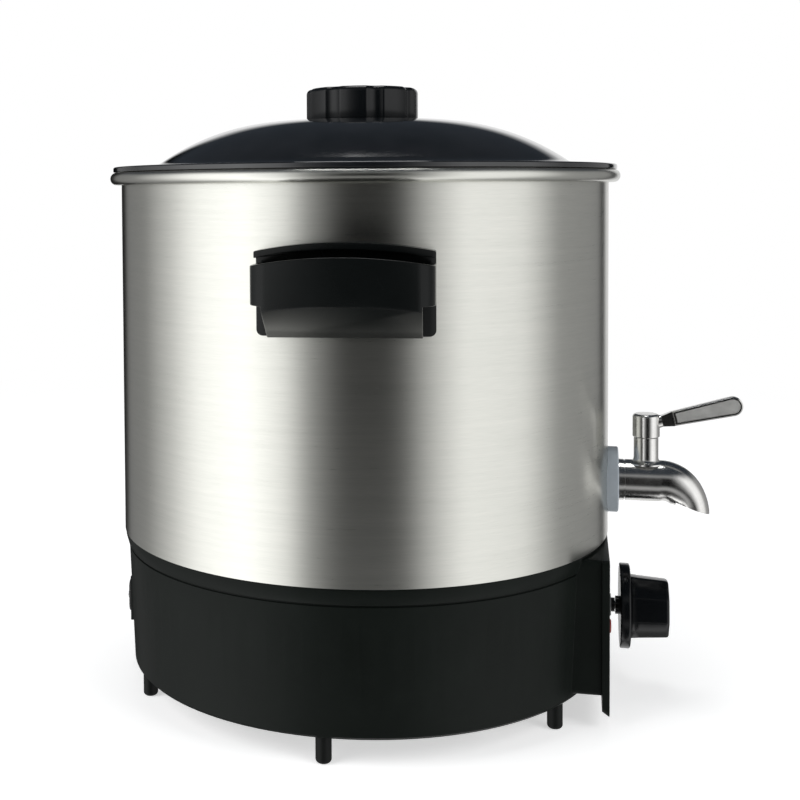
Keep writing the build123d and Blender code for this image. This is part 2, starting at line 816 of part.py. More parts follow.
def thermostat_body():
    deep, width, height = thermostat_size
    thin, plate_width, plate_height = thermostat_plate
    plate_at = panel_back - thin
    case_at = plate_at - deep
    body = middle_block((case_at, plate_at), 0, width, knob_axis, height)
    body += middle_block((plate_at, panel_back), 0, plate_width, knob_axis, plate_height)
    end = knob_back - knob_hub_length - assembly_gap
    body += shaft(bush_radius, plate_at, end, 0, knob_axis)
    for y in thermostat_tags():
        tag = (case_at - tag_length, case_at + 1)
        body += middle_block(tag, y, 2 * spindle_radius, tag_height(), tag_thickness)
    return body - shaft(spindle_radius + running_gap, spindle_start(), knob_back, 0, knob_axis)


def thermostat_tags():
    """Where the thermostat's flat terminals stand across its back."""
    pitch = thermostat_size[1] * 0.3
    return (-pitch, 0, pitch)


def tag_height():
    return knob_axis - thermostat_size[2] * 0.3


def thermostat_nut():
    nut = hexagon(bush_radius * 1.6, panel_front, panel_front + bush_nut_thickness, 0, knob_axis)
    return nut - shaft(bush_radius + thin_gap, panel_back, knob_back, 0, knob_axis)


def indicator_lens():
    lens = extrude(Circle(lamp_radius), lamp_proud)
    lens = fillet(lens.faces().sort_by(Axis.Z)[-1].edges(), lamp_radius / 3)
    lens += extrude(Circle(lamp_radius + lamp_rim), lamp_rim * 2 / 3)
    return Pos(panel_front, -lamp_offset, knob_axis) * Rot(0, 90, 0) * lens


def indicator_body():
    start = panel_back - lamp_length
    body = shaft(lamp_radius - thin_gap, start, panel_front, -lamp_offset, knob_axis)
    for offset in (-lamp_radius / 2, lamp_radius / 2):
        tag = (start - tag_length, start + 1)
        body += middle_block(tag, -lamp_offset, lamp_radius, knob_axis + offset, tag_thickness)
    return body


# ---------------------------------------------------------------- heater and sensors
def heater_plate():
    return post(heater_radius, heater_under, floor_under)


def heating_element():
    section = Pos(element_ring_radius, element_height) * Circle(element_radius)
    ring = revolve(Plane.XZ * section, Axis.Z, revolution_arc=element_sweep)
    return Rot(0, 0, 180 + (360 - element_sweep) / 2) * ring


def element_terminals():
    """Cold pins that leave both ends of the element in line with it."""
    half_gap = (360 - element_sweep) / 2
    pins = []
    for sense in (-1, 1):
        pin = extrude(Plane.XZ * Circle(cold_end_radius), sense * cold_end_length)
        place = Pos(-element_ring_radius, 0, element_height)
        pins.append(Rot(0, 0, -sense * half_gap) * place * pin)
    return group(pins)


def thermal_cutout():
    x, y = block_end + cutout_place[0], cutout_place[1]
    long, wide, thin = cutout_ear
    can_low = heater_under - cutout_height
    body = post(cutout_radius, can_low, heater_under, x, y)
    body += block((x - long, x + long), (y - wide, y + wide), (heater_under - thin, heater_under))
    for side in (-cutout_tab, cutout_tab):
        tab = (y + side - tag_thickness / 2, y + side + tag_thickness / 2)
        body += block((x - 3, x + 3), tab, (can_low - cutout_height, can_low + 1))
    return body


def sensor_bulb():
    start = Pos(bulb_place, -bulb_length / 2, bulb_height)
    return start * extrude(Plane.XZ * Circle(bulb_radius), -bulb_length)


def bulb_clip():
    x = bulb_place
    wide, long = clip_half_width, clip_half_length
    room = bulb_radius + thin_gap
    low = bulb_height - bulb_radius - clip_wall
    bridge = block((x - wide, x + wide), (-long, long), (low, heater_under))
    slot = Pos(x, -long - 1, bulb_height) * extrude(Plane.XZ * Circle(room), -2 * long - 2)
    return bridge - slot - block((x - room, x + room), (-long, long), (bulb_height, heater_under))


def capillary():
    """Fine tube from the end of the bulb to the back of the thermostat."""
    end = panel_back - thermostat_plate[0] - thermostat_size[0]
    side = thermostat_size[1] / 5
    height = knob_axis + thermostat_size[2] / 4
    half = bulb_length / 2
    points = [
        (bulb_place, half, bulb_height),
        (bulb_place, half + 18, bulb_height),
        (bulb_place + 22, half + 24, bulb_height - 16),
        (end - 18, side + 14, height + 4),
        (end - 12, side, height),
        (end, side, height),
    ]
    return wire_run(points, wire_bend + 1, capillary_radius)


# ---------------------------------------------------------------- mains side
def power_inlet():
    flange_width, flange_height, flange_thickness = inlet_flange
    width, height, deep = inlet_body
    flange = fillet(Rectangle(flange_width, flange_height).vertices(), 2 * inlet_pad[2])
    front = inlet_face - flange_thickness
    body = Pos(front, 0, inlet_axis) * extrude(Plane.YZ * flange, flange_thickness)
    body += middle_block((inlet_face - 1, inlet_face + deep), 0, width, inlet_axis, height)
    socket = (front - 1, inlet_face + inlet_socket)
    body -= middle_block(
        socket, 0, width - 2 * inlet_wall, inlet_axis, height - 2 * inlet_wall
    )
    for y in (-inlet_spread, inlet_spread):
        body -= shaft(small_screw_radius + screw_gap, front - 1, inlet_face + 1, y, inlet_axis)
    slot = (inlet_face + inlet_socket / 2, inlet_face + deep + 1)
    wide, high = inlet_pin
    for y, z in inlet_pins_at:
        body -= middle_block(
            slot, y, wide + assembly_gap, inlet_axis + z, high + assembly_gap
        )
    return body


def inlet_pins():
    start, end = (inlet_face + at for at in inlet_pin_range)
    wide, high = inlet_pin
    return group(
        middle_block((start, end), y, wide, inlet_axis + z, high) for y, z in inlet_pins_at
    )


def inlet_screws():
    front = inlet_face - inlet_flange[2]
    radius, height = small_head
    return group(
        shaft(small_screw_radius, front - 1, inlet_face + 2 * inlet_pad[2], y, inlet_axis)
        + shaft(radius, front - height, front, y, inlet_axis)
        for y in (-inlet_spread, inlet_spread)
    )


def terminal_block():
    _, wide, high = block_size
    body = middle_block((block_start, block_end), 0, wide, cover_top + high / 2, high)
    for y in (-block_pitch, 0, block_pitch):
        body -= shaft(block_hole_radius, block_start - 1, block_end + 1, y, block_axis)
    return body


def block_screws():
    radius, height = block_screw
    low = cover_top + block_size[2]
    middle = (block_start + block_end) / 2
    return group(
        post(radius, low, low + height, middle, y) for y in (-block_pitch, 0, block_pitch)
    )


def feed_wire(pin, side):
    """From a pin of the inlet to its way into the terminal block."""
    y, z = inlet_pins_at[pin]
    turn = pins_end + block_distance / 3
    points = [(pins_end, y, inlet_axis + z), (turn, y, inlet_axis + z)]
    if side:
        points.append((turn + 2 * wire_bend, side * block_pitch, block_axis))
    else:
        points.append((block_start - wire_bend, 0, block_axis))
    points.append((block_start - wire_end_gap, side * block_pitch, block_axis))
    return wire_run(points, wire_bend, wire_radius)


def live_wires():
    """In to the terminal block, and on from it to the thermostat."""
    y = -block_pitch
    tag_end = panel_back - thermostat_plate[0] - thermostat_size[0] - tag_length
    out = [
        (block_end + wire_end_gap, y, block_axis),
        (block_end + 3 * wire_wide_bend, y, block_axis),
        (bulb_place, y - 25, block_axis + 4),
        (tag_end - 2 * wire_wide_bend, thermostat_tags()[0], tag_height()),
        (tag_end - wire_end_gap, thermostat_tags()[0], tag_height()),
    ]
    return group([feed_wire(0, -1), wire_run(out, wire_wide_bend, wire_radius)])


def neutral_wires():
    """In to the terminal block, and on from it to the thermal cut-out."""
    y = block_pitch
    x, side = block_end + cutout_place[0], cutout_place[1] + cutout_tab
    tab_low = heater_under - 2 * cutout_height
    rise = 2 * wire_wide_bend
    out = [
        (block_end + wire_end_gap, y, block_axis),
        (x - 30, y, block_axis),
        (x - 22, y + 11, block_axis + 22),
        (x - 6, side, tab_low - rise),
        (x, side, tab_low - wire_end_gap - wire_radius / 3),
    ]
    return group([feed_wire(2, 1), wire_run(out, wire_bend + 2, wire_radius)])


def earth_wire():
    return feed_wire(1, 0)


# ---------------------------------------------------------------- tap
def tap_spout(inset):
    """Barrel and spout, lofted through round sections that turn downwards."""
    mouth = pot_radius + spout_reach
    shrink = (tap_barrel_radius - spout_mouth_radius) / 3
    # Each section: how far short of the mouth, how far below the axis, its turn and its radius.
    stations = [
        (mouth - tap_joint, 0.0, 0.0, tap_barrel_radius),
        (12.4, 1.8, 20.0, tap_barrel_radius - 0.6 * shrink),
        (4.2, 9.0, 55.0, spout_mouth_radius + shrink),
        (0.0, 18.0, 90.0, spout_mouth_radius + thin_gap),
        (0.0, 27.0, 90.0, spout_mouth_radius),
    ]
    sections = []
    for short, drop, turn, radius in stations:
        way = (cos(radians(turn)), 0, -sin(radians(turn)))
        place = Plane(origin=(mouth - short, 0, tap_axis - drop), z_dir=way)
        sections.append(place * Circle(radius - inset))
    return loft(sections)


def below_mouth():
    """Everything under the slanted mouth, which is cut from the spout."""
    start = pot_radius + spout_reach - spout_mouth_radius - 0.5
    width = 2 * spout_mouth_radius
    end = start + width + 5.0
    slope = tan(radians(mouth_slant))
    low_edge = tap_axis - spout_drop
    deep = low_edge - 2 * width
    outline = Polyline(
        (start, low_edge + slope * width), (end, low_edge - slope * (end - start - width)),
        (end, deep), (start, deep), close=True,
    )
    return side_sheet(outline, 2 * tap_barrel_radius)


def neck_root():
    """Hollow fillet that joins the upright neck to the barrel."""
    out, up = tap_neck_flare
    wide = tap_neck_radius + out
    edge = Polyline((0, 0), (wide, 0), (wide, up / 6))
    curve = ThreePointArc(
        (wide, up / 6), (tap_neck_radius + out / 4, up * 0.42), (tap_neck_radius, up)
    )
    close = Polyline((tap_neck_radius, up), (0, up), (0, 0))
    root = revolve(Plane.XZ * make_face(edge + curve + close), Axis.Z)
    return Pos(neck_x, 0, tap_axis + tap_barrel_radius - out * 0.72) * root


def tap_body():
    groove_start, groove_end = tap_start + tap_groove[0], tap_start + sum(tap_groove)
    thread_end = tap_start - tap_thread_length
    neck_top = tap_axis + tap_neck_top
    body = shaft(tap_thread_radius, thread_end, tap_start + 1, 0, tap_axis)
    body += shaft(tap_barrel_radius, tap_start, groove_start, 0, tap_axis)
    waist = tap_barrel_radius - tap_groove_depth
    body += shaft(waist, tap_start + 1, groove_end, 0, tap_axis)
    body += shaft(tap_barrel_radius, groove_end, tap_joint, 0, tap_axis)
    body += tap_spout(0) - below_mouth()
    body += post(tap_neck_radius, tap_axis, neck_top, neck_x)
    body += neck_root()
    body -= shaft(tap_bore_radius, thread_end - 1, tap_joint, 0, tap_axis)
    body -= tap_spout(spout_wall)
    # Seat of the turning plug, blind below and open at the neck's top.
    seat_low = tap_axis - tap_barrel_radius + plug_floor
    return body - post(plug_radius + running_gap, seat_low, neck_top + 1, neck_x)


def tap_plug():
    """Turning core: a stem with a cross hole that opens or shuts the barrel."""
    low = tap_axis - tap_barrel_radius + plug_floor + running_gap
    core = post(plug_radius, low, tap_axis + tap_neck_top + plug_top, neck_x)
    start = Pos(neck_x, -2 * plug_radius, tap_axis)
    return core - start * extrude(Plane.XZ * Circle(plug_hole_radius), -4 * plug_radius)


def tap_cap():
    low = tap_axis + tap_neck_top + cap_gap
    cap = extrude(Circle(tap_cap_radius), tap_cap_height)
    cap = fillet(cap.faces().sort_by(Axis.Z)[-1].edges(), tap_cap_radius / 4)
    cap = chamfer(cap.faces().sort_by(Axis.Z)[0].edges(), tap_cap_radius / 20)
    cap = Pos(neck_x, 0, low) * cap
    wide = Circle(lever_boss_radius + lever_boss_flare)
    boss = loft([wide, Pos(0, 0, lever_boss_length - thin_gap) * Circle(lever_boss_radius)])
    place = lever_frame() * Pos(-lever_neck_length - lever_boss_length, 0, 0)
    cap += place * Rot(0, 90, 0) * boss - post(tap_cap_radius / 2, 0, dome_top, neck_x)
    room = plug_top - cap_gap + thin_gap
    cap -= post(plug_radius + thin_gap, low - 1, low + room, neck_x)
    socket = extrude(Plane.YZ * Circle(lever_shank_radius + thin_gap), -lever_shank_length - 1)
    return cap - lever_frame() * Pos(-lever_neck_length, 0, 0) * socket


def lever_frame():
    """Root of the lever's bar, turned up by its rise."""
    return Pos(pot_radius + lever_start, 0, tap_axis + lever_base) * Rot(0, -lever_rise, 0)


def lever_outline(inset, start):
    """Side of the flat bar: it widens towards a round tip."""
    length = (lever_reach - lever_height / 2 - lever_start) / cos(radians(lever_rise))
    half = lever_height / 2 - inset
    root = lever_root_height / 2 - inset
    sides = Polyline((length, half), (start, root), (start, -root), (length, -half))
    return sides + ThreePointArc((length, -half), (length + half, 0), (length, half))


def tap_lever():
    """A flat pill-shaped bar with sunk broad faces, a tapered neck and a round shank."""
    bar = side_sheet(lever_outline(0, 0.0), lever_thickness / 2)
    for end in (0, -1):
        bar = chamfer(bar.faces().sort_by(Axis.Y)[end].edges(), lever_bevel)
    for side in (-1, 1):
        origin = (0, side * lever_thickness / 2, 0)
        face = Plane(origin=origin, x_dir=(1, 0, 0), z_dir=(0, -1, 0))
        sunk = face * make_face(lever_outline(lever_border, lever_border + lever_sunk))
        bar -= extrude(sunk, lever_sunk, both=True)
    root = Plane.YZ * Rectangle(lever_thickness, lever_root_height)
    end = Plane.YZ * Rectangle(lever_thickness + 1, lever_neck_height)
    neck = loft([root, Pos(-lever_neck_length, 0, 0) * end])
    shank = extrude(Plane.YZ * Circle(lever_shank_radius), -lever_neck_length - lever_shank_length)
    return lever_frame() * (bar + neck + shank)


def tap_outer_washer():
    washer = shaft(tap_washer_radius, pot_radius / 2, tap_start, 0, tap_axis)
    washer = chamfer(washer.edges().sort_by(Axis.X)[-1], panel_bevel)
    washer -= shaft(tap_thread_radius + thin_gap, 0, 2 * pot_radius, 0, tap_axis)
    return washer - post(pot_radius + thin_gap / 2, 0, dome_top)


def seal_face():
    """Inner face of the tap's inner washer, which lies against the curve of the wall."""
    return sqrt(pot_inside**2 - tap_seal_radius**2) - tap_seal_face


def tap_inner_washer():
    washer = shaft(tap_seal_radius, seal_face(), pot_radius, 0, tap_axis)
    washer -= shaft(tap_thread_radius + thin_gap, 0, 2 * pot_radius, 0, tap_axis)
    return washer & post(pot_inside - thin_gap / 2, 0, dome_top)


def tap_locknut():
    across, thickness = tap_nut_size
    face = seal_face()
    nut = hexagon(across / sqrt(3), face - thickness, face, 0, tap_axis)
    return nut - shaft(tap_thread_radius + thin_gap / 2, 0, 2 * pot_radius, 0, tap_axis)


# ---------------------------------------------------------------- every node
nodes = {
    "pot": pot(),
    "pot_studs": pot_studs(),
    "stud_washers": stud_washers(),
    "stud_nuts": stud_nuts(),
    "false_bottom": false_bottom(),
    "near_handle": handle(-1),
    "far_handle": handle(1),
    "handle_screws": handle_screws(),
    "handle_washers": handle_washers(),
    "lid_dome": lid_dome(),
    "lid_knob": lid_knob(),
    "lid_screw": lid_screw(),
    "lid_washer": lid_washer(),
    "base_housing": base_housing(),
    "control_panel": control_panel(),
    "panel_screws": panel_screws(),
    "bottom_cover": bottom_cover(),
    "cover_screws": cover_screws(),
    "thermostat_knob": thermostat_knob(),
    "thermostat_spindle": thermostat_spindle(),
    "thermostat_body": thermostat_body(),
    "thermostat_nut": thermostat_nut(),
    "indicator_lens": indicator_lens(),
    "indicator_body": indicator_body(),
    "heater_plate": heater_plate(),
    "heating_element": heating_element(),
    "element_terminals": element_terminals(),
    "thermal_cutout": thermal_cutout(),
    "sensor_bulb": sensor_bulb(),
    "bulb_clip": bulb_clip(),
    "capillary": capillary(),
    "power_inlet": power_inlet(),
    "inlet_pins": inlet_pins(),
    "inlet_screws": inlet_screws(),
    "terminal_block": terminal_block(),
    "block_screws": block_screws(),
    "live_wires": live_wires(),
    "neutral_wires": neutral_wires(),
    "earth_wire": earth_wire(),
    "tap_body": tap_body(),
    "tap_plug": tap_plug(),
    "tap_cap": tap_cap(),
    "tap_lever": tap_lever(),
    "tap_outer_washer": tap_outer_washer(),
    "tap_inner_washer": tap_inner_washer(),
    "tap_locknut": tap_locknut(),
}
for number, place in enumerate(foot_places(), 1):
    nodes[f"foot_{number}"] = foot(*place)

os.makedirs("parts", exist_ok=True)
for name, shape in nodes.items():
    export_step(Pos(-frame_shift, 0, 0) * shape, f"parts/{name}.step")
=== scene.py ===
# %% [markdown]
# An electric brewer is a big stainless pot on a black plastic base that hides a heater. A domed,
# enamelled lid lies on the rim, two black handles stand off the wall, and a polished tap leaves the
# pot just above the base. This notebook dresses the measured frame of that brewer, piece by piece.
# The frame comes first: it gives every place and size, and it moves the pieces when a joint turns.

# %% Load the frame
from math import acos, cos, pi, radians, sin

import bmesh
import bpy
from mathutils import Matrix, Vector


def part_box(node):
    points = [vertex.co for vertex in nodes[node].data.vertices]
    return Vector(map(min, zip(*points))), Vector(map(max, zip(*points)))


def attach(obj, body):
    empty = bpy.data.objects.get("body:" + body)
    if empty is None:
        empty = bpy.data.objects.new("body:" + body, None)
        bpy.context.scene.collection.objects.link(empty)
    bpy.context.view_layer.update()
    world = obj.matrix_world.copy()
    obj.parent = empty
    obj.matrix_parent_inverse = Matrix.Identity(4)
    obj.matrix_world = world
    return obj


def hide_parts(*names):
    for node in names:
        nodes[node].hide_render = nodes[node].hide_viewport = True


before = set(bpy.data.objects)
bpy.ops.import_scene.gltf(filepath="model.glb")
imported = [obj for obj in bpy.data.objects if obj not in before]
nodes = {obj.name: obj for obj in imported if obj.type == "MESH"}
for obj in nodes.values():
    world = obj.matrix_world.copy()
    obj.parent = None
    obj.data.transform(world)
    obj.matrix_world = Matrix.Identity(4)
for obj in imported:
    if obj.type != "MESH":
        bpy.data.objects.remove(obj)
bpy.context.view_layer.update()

# %% [markdown]
# Nearly all of the brewer is round, and the round pieces share one upright axis: the pot's. The pot's
# box gives that axis, and the boxes of the other nodes give the tap's and the knob's. Measuring from
# the frame, and not typing places in, keeps each new piece exactly where the real one sits.

# %% Axes and heights that the pieces share
mm = 0.001
UP, OUT, ACROSS = Vector((0, 0, 1)), Vector((1, 0, 0)), Vector((0, 1, 0))


def middle(node):
    """Middle of a node's box."""
    low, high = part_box(node)
    return (low + high) / 2


pot_low, pot_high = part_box("pot")
axis_x = middle("pot").x
pot_axis = Vector((axis_x, 0, 0))
bead = 4.6 * mm
sheet = 1.0 * mm
rim_outside = (pot_high.y - pot_low.y) / 2
pot_radius = rim_outside - 2 * bead + sheet
steel_low = pot_low.z
rim_top = pot_high.z
print("pot axis at x", round(axis_x, 4), "radius", round(pot_radius, 4), "rim", round(rim_top, 4))

# %% [markdown]
# A camera is placed before anything is modelled, because it shows which surfaces matter. This one
# stands a metre away, about as high as the rim, so the rim looks almost straight. It looks nearly
# level and moves its picture with a lens shift instead of a tilt, the way a product photographer
# keeps upright edges upright.

# %% Camera
camera_distance = 0.9641
camera_height = 0.3641
camera_side = radians(80.84)    # from the tap round to the camera
camera_heading = radians(12.43)
camera_dip = radians(2.19)
camera_roll = radians(0.374)

view_data = bpy.data.cameras.new("view")
view_data.lens = 57.42
view_data.shift_x = 0.1376
view_data.shift_y = -0.2001
camera = bpy.data.objects.new("view", view_data)
bpy.context.scene.collection.objects.link(camera)
stand = pot_axis + camera_distance * Vector((cos(camera_side), -sin(camera_side), 0))
stand.z = camera_height
camera.matrix_world = (
    Matrix.Translation(stand)
    @ Matrix.Rotation(camera_heading, 4, "Z")
    @ Matrix.Rotation(pi / 2 - camera_dip, 4, "X")
    @ Matrix.Rotation(-camera_roll, 4, "Z")
)
bpy.context.scene.camera = camera
print("camera at", [round(v, 3) for v in stand])

# %% [markdown]
# Polished and brushed metal only looks right when it has something to mirror. A studio gives it large
# white cards with dark gaps between them, and the gaps are what draw the pot's round form. Tall area
# lights could be the cards, but here they are upright bands painted on the world, because a colour
# ramp round the pot is quick to adjust. Three area lights fill in and light the floor.

# %% Helper for shader nodes
class Nodes:
    """Adds and links shader nodes in a few words."""

    def __init__(self, tree):
        self.tree = tree

    def add(self, kind, inputs=None, **settings):
        node = self.tree.nodes.new(kind)
        for name, value in settings.items():
            setattr(node, name, value)
        for socket, value in (inputs or {}).items():
            if isinstance(value, bpy.types.NodeSocket):
                self.tree.links.new(value, node.inputs[socket])
            else:
                node.inputs[socket].default_value = value
        return node

    def math(self, operation, first, second=0.0):
        node = self.add("ShaderNodeMath", {0: first, 1: second}, operation=operation)
        return node.outputs[0]

    def ramp(self, value, *stops):
        """A colour ramp through (position, grey or colour) stops."""
        node = self.add("ShaderNodeValToRGB", {0: value})
        elements = node.color_ramp.elements
        while len(elements) < len(stops):
            elements.new(0.5)
        for element, (position, colour) in zip(elements, stops):
            element.position = position
            grey = colour if isinstance(colour, tuple) else (colour,) * 3
            element.color = (*grey, 1)
        return node.outputs[0]


# %% Room that the metal mirrors
# Each card ends at an angle in degrees, from the camera round to its right, and has a brightness.
cards = (
    (-180, 0.95), (-168, 0.90), (-165, 0.0), (-150, 0.0), (-146, 0.22), (-120, 0.30), (-99, 0.80),
    (-80, 1.55), (-55, 1.85), (-36, 1.25), (-25, 0.40), (-13, 0.07), (-7, 0.0), (11, 0.0), (18, 0.10),
    (30, 0.65), (46, 1.30), (76, 1.15), (98, 0.40), (139, 0.30), (141, 0.0), (148, 0.0), (152, 0.80),
    (164, 0.90), (180, 0.95),
)
card_low, card_high = 0.50, 0.75    # height, as a sine, at which the cards end
low_behind = 1.2                    # how much lower they end behind the brewer
gap_half = 0.34                     # half the height of the dark gap in front, as a sine
open_light = 0.48                   # brightness above and below that gap
gap_level, gap_fade = 0.03, 0.22    # height of the gap's middle, and how softly it ends
front_edge, front_core = 0.60, 0.80 # where the front begins and is full, as a cosine
ceiling = (0.035, 0.042, 0.052, 1)


def studio_world():
    """Upright cards round the brewer under a dim ceiling; the camera itself sees only white."""
    world = bpy.data.worlds.new("studio")
    world.use_nodes = True
    tree = world.node_tree
    tree.nodes.clear()
    n = Nodes(tree)
    way = n.add("ShaderNodeTexCoord").outputs["Generated"]
    toward = (cos(camera_side), -sin(camera_side), 0)
    right = (sin(camera_side), cos(camera_side), 0)
    ahead = n.add("ShaderNodeVectorMath", {0: way, 1: toward}, operation="DOT_PRODUCT")
    aside = n.add("ShaderNodeVectorMath", {0: way, 1: right}, operation="DOT_PRODUCT")
    angle = n.math("ARCTAN2", aside.outputs["Value"], ahead.outputs["Value"])
    share = n.math("ADD", n.math("MULTIPLY", angle, 1 / (2 * pi)), 0.5)
    around = n.ramp(share, *((0.5 + turn / 360, light) for turn, light in cards))
    height = n.add("ShaderNodeSeparateXYZ", {0: way}).outputs["Z"]
    back = n.math("MAXIMUM", n.math("MULTIPLY", ahead.outputs["Value"], -1.0), 0.0)
    behind = n.math("MULTIPLY", back, low_behind)
    above = n.ramp(n.math("MULTIPLY", height, n.math("ADD", behind, 1.0)), (card_low, 0.0), (card_high, 1.0))
    # In front the dark gap is only as tall as the photographer, so small rounds still catch light.
    level = n.math("ABSOLUTE", n.math("SUBTRACT", height, gap_level))
    past = n.ramp(level, (gap_half, 0.0), (gap_half + gap_fade, open_light))
    front = n.ramp(ahead.outputs["Value"], (front_edge, 0.0), (front_core, 1.0))
    open_front = n.math("MULTIPLY", past, front)
    around = n.add(
        "ShaderNodeMix", {0: 1.0, 6: around, 7: open_front}, data_type="RGBA", blend_type="LIGHTEN"
    )
    mixed = n.add("ShaderNodeMix", {0: above, 6: around.outputs[2], 7: ceiling}, data_type="RGBA")
    lit = n.add("ShaderNodeBackground", {0: mixed.outputs[2], 1: 1.0})
    seen = n.add("ShaderNodeBackground", {0: (1, 1, 1, 1), 1: 1.0})
    ray = n.add("ShaderNodeLightPath").outputs["Is Camera Ray"]
    both = n.add("ShaderNodeMixShader", {0: ray, 1: lit.outputs[0], 2: seen.outputs[0]})
    n.add("ShaderNodeOutputWorld", {0: both.outputs[0]})
    return world


bpy.context.scene.world = studio_world()
bpy.context.scene.view_settings.view_transform = "Standard"
print("world made, view", bpy.context.scene.view_settings.view_transform)


# %% Soft lights
def softbox(name, turn, distance, height, size, power, aim=0.25):
    """An area light round the pot; turn is in degrees from the camera, positive to its right."""
    light = bpy.data.lights.new(name, "AREA")
    light.shape = "RECTANGLE"
    light.size, light.size_y = size
    light.energy = power
    lamp = bpy.data.objects.new(name, light)
    bpy.context.scene.collection.objects.link(lamp)
    side = camera_side - radians(turn)
    place = pot_axis + distance * Vector((cos(side), -sin(side), 0)) + height * UP
    way = pot_axis + aim * UP - place
    lamp.matrix_world = Matrix.Translation(place) @ way.to_track_quat("-Z", "Y").to_matrix().to_4x4()
    return lamp


side_panels = (
    softbox("left_panel", -62, 1.8, 1.5, (1.2, 1.2), 16),
    softbox("right_panel", 54, 1.9, 1.5, (1.2, 1.2), 12),
)
for panel in side_panels:
    panel.visible_glossy = False    # the cards, and not these two, are what the metal mirrors
softbox("top_panel", 180, 0.25, 2.0, (0.8, 0.6), 9)


# %% [markdown]
# The floor is one wide disc. Its white has to meet the room's white without a line, so it glows a
# little near the brewer and turns into pure light further out, where no shadow falls.

# %% Floor
floor_radius = 12.0
floor_glow = 0.56                   # light of its own under the brewer
fade_from, fade_to = 0.44, 1.6      # metres from the middle over which it turns into pure white


def pale_floor():
    """A wide white floor that fades into the room's white, so that no edge of it shows."""
    bm = bmesh.new()
    bmesh.ops.create_circle(bm, cap_ends=True, segments=96, radius=floor_radius)
    mesh = bpy.data.meshes.new("floor")
    bm.to_mesh(mesh)
    bm.free()
    floor = bpy.data.objects.new("floor", mesh)
    bpy.context.scene.collection.objects.link(floor)
    material = bpy.data.materials.new("floor")
    material.use_nodes = True
    material.node_tree.nodes.clear()
    n = Nodes(material.node_tree)
    place = n.add("ShaderNodeTexCoord").outputs["Object"]
    away = n.add("ShaderNodeVectorMath", {0: place}, operation="LENGTH").outputs["Value"]
    far = n.ramp(n.math("MULTIPLY", away, 0.5), (fade_from / 2, 0.0), (fade_to / 2, 1.0))
    lit = n.add("ShaderNodeBsdfDiffuse", {0: (0.9, 0.9, 0.9, 1)})
    lift = n.add("ShaderNodeEmission", {0: (1, 1, 1, 1), 1: floor_glow})
    near = n.add("ShaderNodeAddShader", {0: lit.outputs[0], 1: lift.outputs[0]})
    glow = n.add("ShaderNodeEmission", {0: (1, 1, 1, 1), 1: 1.0})
    seen = n.add("ShaderNodeMixShader", {0: far, 1: near.outputs[0], 2: glow.outputs[0]})
    n.add("ShaderNodeOutputMaterial", {0: seen.outputs[0]})
    mesh.materials.append(material)
    floor.visible_glossy = False    # the metal mirrors the cards right down, as over a dark table
    return floor


print("floor across", pale_floor().dimensions.x, "metres")

# %% [markdown]
# A finish is what tells a maker's hand. Each one below is a small node tree on the piece's own
# coordinates: a base colour that varies a little, a roughness that varies with it, a fine bump, and
# some wear. Speckle and scratches are written once and shared.

# %% Parts that every finish shares
SKIN = "Principled BSDF"


class Finish(Nodes):
    """A material with one principled skin, its object coordinates and ready patterns."""

    def __init__(self, name, colour=(0.5, 0.5, 0.5), **skin):
        self.material = bpy.data.materials.new(name + "_finish")
        self.material.use_nodes = True
        super().__init__(self.material.node_tree)
        self.skin = self.tree.nodes[SKIN]
        self.skin.inputs["Base Color"].default_value = (*colour, 1)
        self.material.diffuse_color = (*colour, 1)
        for socket, value in skin.items():
            self.skin.inputs[socket.replace("_", " ").title()].default_value = value
        self.place = self.add("ShaderNodeTexCoord").outputs["Object"]

    def noise(self, scale, detail=3.0, stretch=None, roughness=0.55):
        where = self.place if stretch is None else self.stretched(stretch)
        inputs = {"Vector": where, "Scale": scale, "Detail": detail, "Roughness": roughness}
        return self.add("ShaderNodeTexNoise", inputs).outputs["Fac"]

    def stretched(self, stretch):
        inputs = {0: self.place, 1: stretch}
        return self.add("ShaderNodeVectorMath", inputs, operation="MULTIPLY").outputs[0]

    def around(self, centre):
        """Angle round an upright axis, and height, of each point."""
        moved = self.add("ShaderNodeVectorMath", {0: self.place, 1: centre}, operation="SUBTRACT")
        parts = self.add("ShaderNodeSeparateXYZ", {0: moved.outputs[0]})
        angle = self.math("ARCTAN2", parts.outputs["Y"], parts.outputs["X"])
        return angle, parts.outputs["Z"]

    def between(self, value, low, high):
        """The value, from 0 to 1, drawn out from low to high."""
        node = self.add("ShaderNodeMapRange", {"Value": value, "To Min": low, "To Max": high})
        return node.outputs["Result"]

    def colour(self, value, *stops):
        self.tree.links.new(self.ramp(value, *stops), self.skin.inputs["Base Color"])

    def rough(self, value, low, high):
        self.tree.links.new(self.between(value, low, high), self.skin.inputs["Roughness"])

    def bump(self, height, depth, strength=1.0, over=None):
        """Adds one layer of bump; depth is how tall the pattern is, in metres."""
        inputs = {"Height": height, "Distance": depth, "Strength": strength}
        if over is not None:
            inputs["Normal"] = over
        normal = self.add("ShaderNodeBump", inputs).outputs["Normal"]
        self.tree.links.new(normal, self.skin.inputs["Normal"])
        return normal


def shade(colour, amount):
    return tuple(max(0.0, c * amount) for c in colour)


print("finishes are built on the", SKIN)

# %% [markdown]
# The pot is rolled from a sheet that was brushed round its girth, so its fine grooves run level. Such
# grooves leave a reflection sharp along them and smear it up and down, which turns a studio's panels
# into the soft upright bands of a brushed pot. The smear comes from anisotropy whose rough way is
# upright, across the grooves, and the streaks themselves from noise drawn out round the pot.

# %% Brushed and polished stainless steel
streak_stretch = 0.006              # the noise moves this little in a radian round the pot


